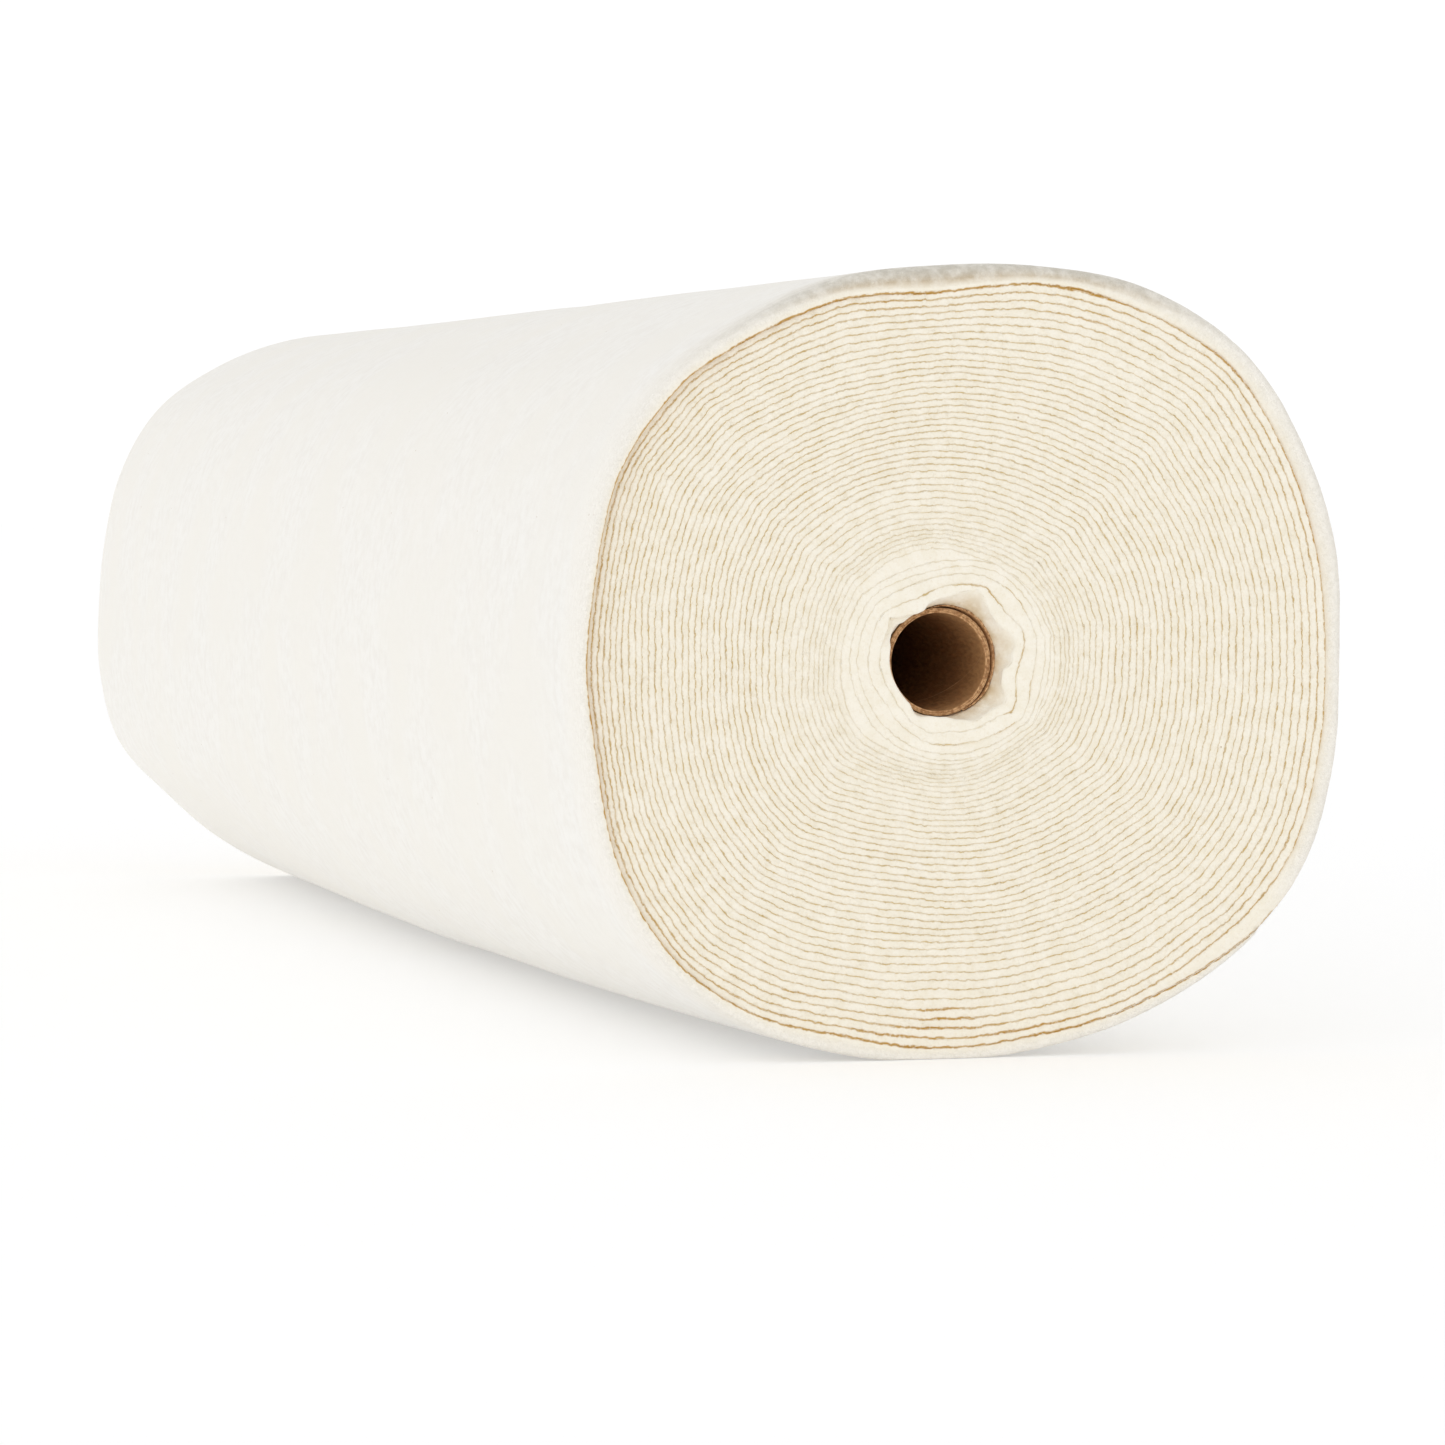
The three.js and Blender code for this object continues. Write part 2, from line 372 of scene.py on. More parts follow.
def pocket_width(turns_in, angle):
    """How wide the seats' listed pockets are."""
    width = np.zeros(len(angle))
    for pocket in POCKETS:
        off_angle = np.abs(turned_from(angle, pocket["angle"]))
        shape = 1 - smoothstep(off_angle, 0, pocket["half_span"])
        width += pocket["width"] * MM * shape * (np.floor(turns_in) == pocket["seat"])
    return width


def gap_width(turn, turns_in, angle, radius):
    """The gap at a seat: hair thin where the turns are tight, wider in places and near the outside."""
    along = line_place(turn * 2 * math.pi * radius)
    slack = np.clip(noise("gap", along) - GAP["tight"], 0, 1)
    slack += GAP["outer_slack"] * np.exp(-np.abs(turns_in) / GAP["outer_turns"])
    return GAP["closed"] + GAP["open"] * slack + GAP["pocket_share"] * pocket_width(turns_in, angle)


# How far the first turns stand out by the tube, and how much more they differ there
RELIEF = {"core_reach": 2.2 * TUBE_RADIUS, "core": 0.8, "core_own": 1.2}


def end_relief(end, turn, angle, radius):
    """How far the cut edges stand out from an end's plane: broad hollows, and each turn's own."""
    broad = noise(end + "_broad", section_place(angle, radius))
    own = noise(end + "_own", line_place(turn * 2 * math.pi * radius))
    by_core = 1 - smoothstep(radius, TUBE_RADIUS, RELIEF["core_reach"])
    return (broad + own + by_core * (RELIEF["core"] + RELIEF["core_own"] * own)) * MM


def mesh_object(name, vertices, faces, attributes, material, corners_at=None):
    """A mesh object from arrays, with one number of each attribute for each vertex.

    Faces of more than four corners are flat. corners_at flags vertices between which the shading
    stays sharp.
    """
    mesh = bpy.data.meshes.new(name)
    mesh.vertices.add(len(vertices))
    mesh.vertices.foreach_set("co", np.ascontiguousarray(vertices, np.float32).ravel())
    corners = np.concatenate([np.asarray(group).ravel() for group in faces]).astype(np.int32)
    sizes = np.concatenate([np.full(len(group), group.shape[1]) for group in faces])
    mesh.loops.add(len(corners))
    mesh.loops.foreach_set("vertex_index", corners)
    mesh.polygons.add(len(sizes))
    starts = np.concatenate([[0], np.cumsum(sizes)[:-1]]).astype(np.int32)
    mesh.polygons.foreach_set("loop_start", starts)
    mesh.polygons.foreach_set("use_smooth", sizes <= 4)
    for key, values in attributes.items():
        layer = mesh.attributes.new(key, "FLOAT", "POINT")
        layer.data.foreach_set("value", np.ascontiguousarray(values, np.float32).ravel())
    mesh.update(calc_edges=True)
    if corners_at is not None:
        ends = np.zeros(2 * len(mesh.edges), np.int32)
        mesh.edges.foreach_get("vertices", ends)
        sharp = corners_at[ends].reshape(-1, 2).all(axis=1)
        mesh.attributes.new("sharp_edge", "BOOLEAN", "EDGE").data.foreach_set("value", sharp)
    mesh.validate()
    mesh.materials.append(material)
    shown = bpy.data.objects.new(name, mesh)
    bpy.context.scene.collection.objects.link(shown)
    return shown


def ring_quads(rings, points, joined):
    """Quads between neighbouring rings of points. The last ring may be joined to the first."""
    ring = np.arange(rings if joined else rings - 1)[:, None] * points
    after = (ring + points) % (rings * points)
    point = np.arange(points)[None, :]
    following = (point + 1) % points
    quads = [ring + point, after + point, after + following, ring + following]
    return np.stack(quads, axis=-1).reshape(-1, 4)


def strip_faces(rings, points, first=0):
    """Quads of a strip of rings with so many points each, and its two end faces."""
    point = np.arange(points)[None, :]
    end_cap = (rings - 1) * points + point[:, ::-1]
    return [ring_quads(rings, points, False) + first, point + first, end_cap + first]


# A turn's cut edges and surfaces, once round its section: the share across its thickness, the share
# of the way to the far end, the depth in from that end in millimetres, and how much is cut edge.
TURN_COLUMNS = ("across", "along", "depth", "cut")
TURN_ROWS = (
    (0.00, 0, 0.17, 1),
    (0.08, 0, 0.04, 1),
    (0.26, 0, 0.00, 1),
    (0.74, 0, 0.00, 1),
    (0.92, 0, 0.04, 1),
    (1.00, 0, 0.17, 1),
    (1.00, 1, 0.90, 1),
    (0.72, 1, 0.05, 1),
    (0.28, 1, 0.05, 1),
    (0.00, 1, 0.90, 1),
)

# The first turn's inner side has more rows at its mouth, because it narrows to lie round the tube
# behind its rim. The shade column is how much painted tan shade, with the cardboard's reflected
# colour, lies on it deep in the pocket by the tube.
MOUTH_COLUMNS = ("depth", "shade")
MOUTH_ROWS = (
    (14.0, 1.0),
    (9.0, 1.0),
    (6.0, 1.0),
    (4.6, 0.85),
    (3.4, 0.55),
    (2.2, 0.25),
    (1.2, 0.07),
    (0.5, 0.0),
)
CORE_TURN_ROWS = tuple((0.0, 0, depth, 1) for depth, shade in MOUTH_ROWS) + TURN_ROWS[1:]

# The same for the outermost turn, whose outer corner is round and puffy and whose outside shows.
WRAP_STATIONS = 30
WRAP_NEAR_ROWS = (
    (0.00, 0, 0.5, 1),
    (0.05, 0, 0.16, 1),
    (0.14, 0, 0.03, 1),
    (0.28, 0, 0.0, 0.8),
    (0.44, 0, 0.15, 0.5),
    (0.59, 0, 0.55, 0.25),
    (0.72, 0, 1.25, 0.1),
    (0.83, 0, 2.3, 0.05),
    (0.915, 0, 3.7, 0),
    (0.972, 0, 5.6, 0),
    (1.00, 0, 8.5, 0),
)
WRAP_FAR_ROWS = (
    (1.00, 1, 8.5, 0),
    (0.95, 1, 4.6, 0.1),
    (0.83, 1, 2.2, 0.3),
    (0.62, 1, 0.7, 0.8),
    (0.30, 1, 0.0, 1),
    (0.10, 1, 0.1, 1),
    (0.00, 1, 0.9, 1),
    (0.00, 0.5, 0.0, 1),
)
WRAP_SHARES = np.linspace(0, 1, WRAP_STATIONS + 2)[1:-1]
WRAP_ROWS = WRAP_NEAR_ROWS + tuple((1, share, 0, 0) for share in WRAP_SHARES) + WRAP_FAR_ROWS

# Points by which the spiral's length is measured
SPIRAL_SAMPLES = 24000


def sheet_places(first, last, step):
    """Turns from first to last at even steps along the sheet, and the sheet's length there."""
    fine = np.linspace(first, last, SPIRAL_SAMPLES)
    angle = INNER_END_ANGLE + 360 * fine
    radius = wound_radius(angle, np.clip(TURNS - fine - 0.5, 0, TURNS))
    place = section_place(angle, radius)
    length = np.concatenate([[0], np.cumsum(np.hypot(*np.diff(place, axis=0).T))])
    count = int(length[-1] / step)
    return np.interp(np.linspace(0, length[-1], count + 1), length, fine), length[-1]


# The part of a turn over which the sheet comes out from under its outer end
UNCOVERED_TURN = 0.035


def uncovered_part(turn):
    """0 where the sheet lies under its outermost turn, and 1 past the sheet's outer end."""
    return smoothstep(turn, TURNS - 1, TURNS - 1 + UNCOVERED_TURN)


# The inner end lies this far behind the others' edges, and comes up to them between these turns
TUCKED_END = 2.6 * MM
TUCKED_FROM = 0.027
TUCKED_TURN = 0.09

# The depth of a covered turn's groove
SEAT_DEPTH = 0.17 * MM

# The outermost turn's round rim is full where it is thick, and flatter away from one side of the roll
PUFFY = {"thickness": 7 * MM, "thin": 0.1, "angle": 140, "flatter": 0.35, "away": -0.5, "facing": 0.4}

# The shares across a turn from which its near edge is round, and from which it falls into its groove
ROUND_FROM = 0.3
GROOVE_FROM = 0.74

# From this place on the sheet is only as round at its near edge as the outermost turn's rim is puffy
FLAT_FROM = TURNS - 1.5

# The first turn's mouth: the depth by which it hugs the tube, how it is marked there, and where its
# rim hangs over the tube
MOUTH = {"hug": 7 * MM, "mark": 0.4, "rim": 3.8 * MM, "overhang": 1.1 * MM, "overhang_angle": 215,
         "overhang_span": 32}

# The outer ply has come away from the rim on one side: the angle, how far it stands off, and how
# far in from the wall's rim it is torn.
PLY_COLUMNS = ("angle", "off", "torn")
PLY_ROWS = (
    (-62, 0.0, 1.2),
    (-50, 0.5, 0.9),
    (-30, 1.0, 0.5),
    (-5, 1.3, 0.3),
    (20, 1.6, 0.6),
    (45, 1.8, 0.2),
    (65, 1.5, 0.4),
    (85, 0.7, 1.0),
    (98, 0.0, 1.5),
)
PLY = {"thickness": 0.45 * MM, "end": 0.1, "length": 9 * MM, "proud": 0.4 * MM, "stations": 6,
       "sides": 120, "curl": 1.6, "room": 1.5, "middle": 18, "room_from": 86, "room_to": 76}


def ply_stand_off(angle, share):
    """How far the loose ply stands off the wall, by the share of its length in from its rim."""
    rows = table(PLY_COLUMNS, PLY_ROWS)
    turned = turned_from(angle, 0)
    off = np.interp(turned, rows["angle"], rows["off"]) * MM
    edge = line_place(turned * TUBE_RADIUS * math.pi / 180)
    off += noise("ply_stand_off", edge) * np.clip(off / MM, 0, 1)
    return off * (1 - share) ** PLY["curl"]


def mouth_radius(low, angle, depth, at_rim):
    """The first turn's inner side: open and folded at the mouth, close round the tube behind it.

    Where the loose ply stands off the tube, the sheet leaves it room.
    """
    place = np.concatenate([section_place(angle, low), depth[:, None]], axis=1)
    open_part = 1 - smoothstep(depth, 0, MOUTH["hug"])
    low = low + noise("crumple", place) * open_part
    closest = TUBE_RADIUS + SEAT_GAP
    low = closest + (np.maximum(low, closest) - closest) * open_part
    share = np.clip((depth + MM - TUBE_RECESS) / PLY["length"], 0, 1)
    ply = ply_stand_off(angle, share) + np.where(share < 1, PLY["room"] * PLY["thickness"], 0)
    by_ply = smoothstep(np.cos(np.radians(angle - PLY["middle"])),
                        math.cos(math.radians(PLY["room_from"])),
                        math.cos(math.radians(PLY["room_to"])))
    low = np.maximum(low, closest + ply * by_ply)
    off_angle = turned_from(angle, MOUTH["overhang_angle"])
    over = np.exp(-(off_angle / MOUTH["overhang_span"]) ** 2)
    over *= 1 - smoothstep(depth, 0.5 * MOUTH["rim"], MOUTH["rim"])
    return low - MOUTH["overhang"] * over * at_rim


# Seats are marked over this much of the sheet's thickness, wherever it is thicker
MARK_SPAN = 2.9 * MM

# How much painted golden shade lies in the seats' gaps: a little everywhere but by the core, and
# more near the outside and in pockets, which are fully shaded at this width
SEAT_SHADE = {"least": 0.22, "core": 26 * MM, "full": 85 * MM, "outer": 0.65, "outer_turns": 2.8,
          "width": 0.5 * MM}


def seat_mark(across, thickness):
    """0 at a seat on the inner side, 1 at one on the outer side and 0.5 well away from both."""
    if across < 0.5:
        return np.minimum(across * thickness / MARK_SPAN, 0.5)
    return 1 - np.minimum((1 - across) * thickness / MARK_SPAN, 0.5)


def sheet_strip(turn, profile, lip_share, hugging):
    """Vertices of the sheet between two of its turns, with one ring of the section for each place.

    With them come each vertex's mark across the sheet, and how much painted golden shade its
    seat has. lip_share is how far each ring's near edge follows the outermost turn's lip. hugging
    is for the first turn, which lies round the tube.
    """
    angle = INNER_END_ANGLE + 360 * turn
    turns_in = TURNS - turn
    inner = seat_radius(angle, turns_in)
    covered = seat_radius(angle, np.maximum(turns_in - 1, 0))
    inner_gap = gap_width(turn, turns_in, angle, inner)
    outer_gap = gap_width(turn + 1, turns_in - 1, angle, covered)
    near_edge = NEAR_Y - end_relief("near", turn, angle, inner)
    near_edge -= periodic(LAYERS["lip"], angle) * MM * lip_share
    near_edge += TUCKED_END * (1 - smoothstep(turn, TUCKED_FROM, TUCKED_TURN))
    far_edge = FAR_Y + end_relief("far", turn, angle, inner)
    near_outline = outline_radius(angle, 0.0)
    uncovered = uncovered_part(turn)
    puffy = uncovered * np.clip((near_outline - inner) / PUFFY["thickness"], PUFFY["thin"], 1)
    facing = smoothstep(np.cos(np.radians(angle - PUFFY["angle"])), PUFFY["away"], PUFFY["facing"])
    puffy *= PUFFY["flatter"] + (1 - PUFFY["flatter"]) * facing
    hollow = periodic(LAYERS["hollow"], angle) * MM
    vertices = np.zeros((len(turn), len(profile["across"]), 3))
    marks = np.zeros(vertices.shape[:2])
    seat_shade = np.zeros(vertices.shape[:2])
    for index in range(len(profile["across"])):
        across, along = profile["across"][index], profile["along"][index]
        depth = np.full(len(turn), profile["depth"][index] * MM)
        inner_open, outer_open = inner_gap / 2, outer_gap / 2
        if along == 0 and across in (0, 1):
            depth += (inner_gap if across == 0 else outer_gap) * GAP["depth"]
            inner_open = outer_open = -GAP["pressed"]
        if along == 0 and across > ROUND_FROM:
            flat = np.minimum(depth, SEAT_DEPTH * smoothstep(across, GROOVE_FROM, 1.0))
            depth = np.where(turn > FLAT_FROM, depth * puffy + flat * (1 - puffy), depth)
        y = near_edge + (far_edge - near_edge) * along + np.where(along > 0.5, -depth, depth)
        share = np.clip((y - NEAR_Y) / SHEET_WIDTH, 0, 1)
        outline = outline_radius(angle, share)
        # Taken round the roll and along it, so that neighbouring turns move together
        outside = np.concatenate([section_place(angle, near_outline), y[:, None]], axis=1)
        outline += noise("side", outside)
        # Covered turns keep their share of the section where the outline widens or narrows
        widen = (outline - hollow) / (near_outline - hollow)
        low = np.maximum(hollow + (inner + inner_open - hollow) * widen, TUBE_RADIUS + SEAT_GAP)
        high = hollow + (covered - outer_open - hollow) * widen
        high += (outline - high) * uncovered
        if hugging and across < 0.5:
            at_rim = along == 0
            low = mouth_radius(low, angle, depth if at_rim else depth + 2 * MOUTH["hug"], at_rim)
        marks[:, index] = seat_mark(across, high - low)
        seats_in = turns_in if across < 0.5 else turns_in - 1
        near_outside = SEAT_SHADE["outer"] * np.exp(-np.maximum(seats_in, 0) / SEAT_SHADE["outer_turns"])
        pocket = pocket_width(seats_in, angle) / SEAT_SHADE["width"]
        least = SEAT_SHADE["least"] * smoothstep(inner, SEAT_SHADE["core"], SEAT_SHADE["full"])
        seat_shade[:, index] = np.clip(least + near_outside + pocket, 0, 1)
        put_row(vertices, index, angle, low + (high - low) * across, y)
    return vertices, marks, seat_shade


# The shares of its thickness that the sheet keeps in the last rings of its outer and inner ends
OUTER_END_KEEPS = tuple(math.sqrt(share) for share in (8 / 9, 5 / 9, 0.02))
INNER_END_KEEPS = (0.9,)


def rounded_end(vertices, keeps):
    """Draws the last rings together, so an end of the sheet is soft and lies on the turn below."""
    for ring, keep in zip(vertices[-len(keeps):], keeps):
        ring[:, ::2] = ring[0, ::2] + (ring[:, ::2] - ring[0, ::2]) * keep


def node(tree, kind, inputs=(), **settings):
    """A shader node with its settings and inputs; an input is a value or another node's output."""
    made = tree.nodes.new(kind)
    for key, value in settings.items():
        setattr(made, key, value)
    for key, value in dict(inputs).items():
        if isinstance(value, bpy.types.NodeSocket):
            tree.links.new(value, made.inputs[key])
        else:
            made.inputs[key].default_value = value
    return made


def new_material(name, settings):
    """A new material with its surface's settings, its tree and its surface shader."""
    material = bpy.data.materials.new(name)
    material.use_nodes = True
    shader = material.node_tree.nodes["Principled BSDF"]
    for key, value in settings.items():
        shader.inputs[key].default_value = value
    return material, material.node_tree, shader


def colours(kinds):
    """A table's colours as linear ones, from their 8-bit display values."""
    def linear(value):
        share = value / 255
        return share / 12.92 if share <= 0.04045 else ((share + 0.055) / 1.055) ** 2.4
    return {name: [(*map(linear, values), 1) for values in group] for name, group in kinds.items()}


def blend(tree, factor, first, second):
    """The output of a colour mix."""
    return node(tree, "ShaderNodeMix", {0: factor, 6: first, 7: second}, data_type="RGBA").outputs[2]


def math_node(tree, operation, first, second):
    """The output of a sum on two numbers."""
    return node(tree, "ShaderNodeMath", {0: first, 1: second}, operation=operation).outputs[0]


def times(tree, first, second):
    """The output of a multiplication."""
    return math_node(tree, "MULTIPLY", first, second)


def plus(tree, first, second):
    """The output of an addition."""
    return math_node(tree, "ADD", first, second)


def range_node(tree, value, low, high, to_low=0.0, to_high=1.0):
    """The output of a clamped and smooth change of range."""
    made = node(tree, "ShaderNodeMapRange",
                {"Value": value, "From Min": low, "From Max": high, "To Min": to_low, "To Max": to_high},
                interpolation_type="SMOOTHSTEP")
    return made.outputs["Result"]


def attribute(tree, name):
    """The output of a mesh attribute."""
    return node(tree, "ShaderNodeAttribute", attribute_name=name).outputs["Fac"]


def noise_node(tree, place, scale, detail, roughness=0.5):
    """The output of a noise over the surface."""
    return node(tree, "ShaderNodeTexNoise",
                {"Vector": place, "Scale": scale, "Detail": detail, "Roughness": roughness}).outputs["Fac"]


def join(tree, shader, base, strength, distance, height):
    """Gives a surface shader its colour and its bump."""
    bump = node(tree, "ShaderNodeBump", {"Strength": strength, "Distance": distance, "Height": height})
    tree.links.new(bump.outputs["Normal"], shader.inputs["Normal"])
    tree.links.new(base, shader.inputs["Base Color"])


# The cotton's display colours. Pairs are mixed over its clumps, its seats or its cut edge.
COTTON = {
    "side": ((247, 245, 240), (242, 239, 233)),
    "side_broad": ((245, 242, 235),),
    # A painted highlight along the near rim
    "rim": ((253, 249, 241),),
    "edge": ((251, 245, 231), (247, 240, 223)),
    "edge_grain": ((238, 226, 202),),
    # Painted shade in and round the seats: the halos, and the seats' faint and strong golden lines
    "halo_shade": ((234, 215, 178),),
    "seat": ((216, 194, 142), (190, 142, 54)),
    # Painted shade: grey for the rim's top, tan with the cardboard's reflected colour for the core's
    # pocket
    "painted_shade": ((205, 200, 188), (200, 170, 122)),
    "speck": ((168, 138, 96),),
    "fluff_shade": ((212, 204, 186),),
}
COTTON_SURFACE = {"Roughness": 0.95, "Specular IOR Level": 0.2, "Sheen Weight": 0.15,
                  "Sheen Roughness": 0.5}


def batting_material():
    """Needle-punched cotton: off-white faces, creamy cut edges, seats with painted golden shade, fluff,
    seed specks, a painted highlight along the rim and painted shade on the rim and in the pocket.

    The seats' lines wander a little by themselves: the mark across the sheet is shifted by a
    noise, and the line is where the shifted mark is a whole number, on both sides of the seat.
    """
    material, tree, shader = new_material("batting_cotton", COTTON_SURFACE)
    place = node(tree, "ShaderNodeTexCoord").outputs["Object"]
    across, cut, seat_shade, fluff, painted_shade = (
        attribute(tree, name) for name in ("across", "cut", "seat_shade", "fluff", "painted_shade"))
    clumps = noise_node(tree, place, 170, 3, 0.6)
    grain = noise_node(tree, place, 800, 4, 0.7)
    broad = noise_node(tree, place, 14, 2, 0.6)
    beads = noise_node(tree, place, 330, 2, 0.6)
    tufts = range_node(tree, noise_node(tree, place, 420, 3, 0.7), 0.3, 0.72)
    tint = colours(COTTON)

    # The seats' lines: painted golden shade in the gaps between turns, with painted halos of shade
    # round them. The lines also groove the bump.
    shift = range_node(tree, beads, 0.3, 0.7, -0.09, 0.09)
    off_line = math_node(tree, "PINGPONG", math_node(tree, "SUBTRACT", across, shift), 0.5)
    reach = plus(tree, times(tree, seat_shade, 0.12), 0.09)
    line = times(tree, range_node(tree, off_line, 0.02, reach, 1.0, 0.0), cut)
    halo_shade = times(tree, range_node(tree, off_line, 0.03, 0.3, 1.0, 0.0), cut)
    halo_shade = times(tree, halo_shade, times(tree, seat_shade, 0.5))
    patchy = range_node(tree, clumps, 0.3, 0.65, plus(tree, times(tree, seat_shade, 0.6), 0.22), 1.0)
    # How strong the painted golden shade of a seat line is here
    strength = times(tree, times(tree, line, patchy),
                       range_node(tree, seat_shade, 0.0, SEAT_SHADE["least"], 0.42, 1.0))

    # The sheet's faces, and its cut edges
    mottle = range_node(tree, clumps, 0.35, 0.7)
    side = blend(tree, mottle, *tint["side"])
    side = blend(tree, range_node(tree, broad, 0.35, 0.7), side, *tint["side_broad"])
    # A painted highlight on the side along the fluffy near rim
    side = blend(tree, fluff, side, *tint["rim"])
    edge = blend(tree, mottle, *tint["edge"])
    edge = blend(tree, range_node(tree, grain, 0.48, 0.72, 0, 0.45), edge, *tint["edge_grain"])
    edge = blend(tree, halo_shade, edge, *tint["halo_shade"])
    edge = blend(tree, strength, edge, blend(tree, seat_shade, *tint["seat"]))
    base = blend(tree, cut, side, edge)

    # Painted shade, grey on the rim's top and tan with the cardboard's reflected colour in the core's
    # pocket; seed specks; and painted shade between tufts
    painted_shade = times(tree, painted_shade, range_node(tree, clumps, 0.3, 0.65, 0.45, 1.0))
    base = blend(tree, painted_shade, base, blend(tree, cut, *tint["painted_shade"]))
    cells = node(tree, "ShaderNodeTexVoronoi", {"Vector": place, "Scale": 95.0}, feature="F1")
    random = node(tree, "ShaderNodeSeparateColor", {"Color": cells.outputs["Color"]}).outputs[0]
    picked = math_node(tree, "GREATER_THAN", random, 0.8)
    speck = range_node(tree, cells.outputs["Distance"], 0.02, 0.05, 1.0, 0.0)
    base = blend(tree, times(tree, speck, times(tree, picked, 0.7)), base, *tint["speck"])
    shaded = times(tree, fluff, range_node(tree, tufts, 0.0, 0.8, 0.16, 0.0))
    base = blend(tree, shaded, base, *tint["fluff_shade"])

    height = plus(tree, times(tree, clumps, 0.7), times(tree, grain, 0.5))
    height = plus(tree, height, times(tree, math_node(tree, "SUBTRACT", 1.0, line), 0.5))
    height = plus(tree, height, times(tree, tufts, fluff))
    join(tree, shader, base, 0.55, 0.7 * MM, height)
    return material


# The joint of the tube's inner ply: a helix by its depth at an angle and its rise in a whole turn,
# which shows between two depths.
PLY_JOINT = {"angle": 311, "depth": 48 * MM, "rise": -255 * MM, "width": 0.45 * MM,
             "from": 29 * MM, "to": 84 * MM, "fade": 9 * MM}

# The cardboard's display colours. Pairs are mixed over its fibres.
KRAFT = {
    "wall": ((164, 120, 74), (194, 149, 98)),
    "blotch": ((172, 124, 80),),
    "rim": ((150, 102, 60), (216, 172, 124)),
    "joint": ((244, 206, 158),),
}


def cardboard_material():
    """Kraft cardboard: brown fibres, lighter torn edges, and the spiral joint of the plies."""
    material, tree, shader = new_material("kraft_cardboard", {"Roughness": 0.82})
    place = node(tree, "ShaderNodeTexCoord").outputs["Object"]
    stretched = node(tree, "ShaderNodeMapping", {"Vector": place, "Scale": (700, 200, 700)}).outputs[0]
    fibres = noise_node(tree, stretched, 1.0, 5.0)
    blotches = noise_node(tree, place, 70.0, 3.0)
    rim_fibres = noise_node(tree, place, 900.0, 3.0)
    tint = colours(KRAFT)
    base = blend(tree, range_node(tree, fibres, 0.3, 0.7), *tint["wall"])
    base = blend(tree, range_node(tree, blotches, 0.35, 0.7, 0, 0.5), base, *tint["blotch"])
    rim = blend(tree, range_node(tree, rim_fibres, 0.35, 0.65), *tint["rim"])
    base = blend(tree, attribute(tree, "cut"), base, rim)

    # The joint, by how far a place is from the helix along the tube
    parts = node(tree, "ShaderNodeSeparateXYZ", {"Vector": place})
    turn = math_node(tree, "ARCTAN2", math_node(tree, "SUBTRACT", parts.outputs["Z"], AXIS_Z),
                     math_node(tree, "SUBTRACT", parts.outputs["X"], AXIS_X))
    turn = times(tree, turn, PLY_JOINT["rise"] / (2 * math.pi))
    depth = math_node(tree, "SUBTRACT", parts.outputs["Y"], NEAR_Y)
    start = PLY_JOINT["rise"] * PLY_JOINT["angle"] / 360 - PLY_JOINT["depth"]
    off_joint = plus(tree, math_node(tree, "SUBTRACT", depth, turn), start)
    off_joint = math_node(tree, "PINGPONG", off_joint, abs(PLY_JOINT["rise"]) / 2)
    joint = range_node(tree, off_joint, 0.5 * PLY_JOINT["width"], 1.5 * PLY_JOINT["width"], 0.85, 0.0)
    shallow, deep, fade = PLY_JOINT["from"], PLY_JOINT["to"], PLY_JOINT["fade"]
    joint = times(tree, joint, range_node(tree, depth, shallow, shallow + fade, 0.2, 1.0))
    joint = times(tree, joint, range_node(tree, depth, deep - fade, deep, 1.0, 0.0))
    base = blend(tree, joint, base, *tint["joint"])
    join(tree, shader, base, 0.4, 0.3 * MM, fibres)
    return material


# Loose fibres on the cut edges and round the near rim: the rows of the section that they stand
# between, how far they lean out, and their looks. Their roots are a little inside the surface.
ROOTS_SEED = 5
EDGE_FIBRES = {"name": "edge_fibres", "count": 60000, "rows": np.arange(1, 5), "length": 1.9 * MM,
               "width": 0.09 * MM, "lift": 0.25, "cut": 1, "painted_shade": 0, "seed": 51}
# The rim fibres carry a quarter of the rim's painted grey shade
RIM_FIBRES = {"name": "rim_fibres", "count": 30000, "rows": np.arange(4, 13), "length": 1.8 * MM,
              "width": 0.08 * MM, "lift": 0.3, "cut": 0, "painted_shade": 0.25, "seed": 52}
SUNK = 0.05 * MM


def unit(vectors):
    """Rows of vectors at length 1."""
    return vectors / np.maximum(np.linalg.norm(vectors, axis=1), 1e-12)[:, None]


def scatter(vertices, rows, count, random):
    """Random points on the strips between neighbouring rows of a sheet's rings, and their normals."""
    ring = random.integers(0, len(vertices) - 1, count)
    row = random.choice(len(rows) - 1, count)
    low, high = rows[row], rows[row + 1]
    part, step = random.random((count, 1)), random.random((count, 1))
    corner = vertices[ring, low]
    start = corner * (1 - part) + vertices[ring, high] * part
    end = vertices[ring + 1, low] * (1 - part) + vertices[ring + 1, high] * part
    normal = np.cross(vertices[ring + 1, low] - corner, vertices[ring, high] - corner)
    return start * (1 - step) + end * step, unit(normal)


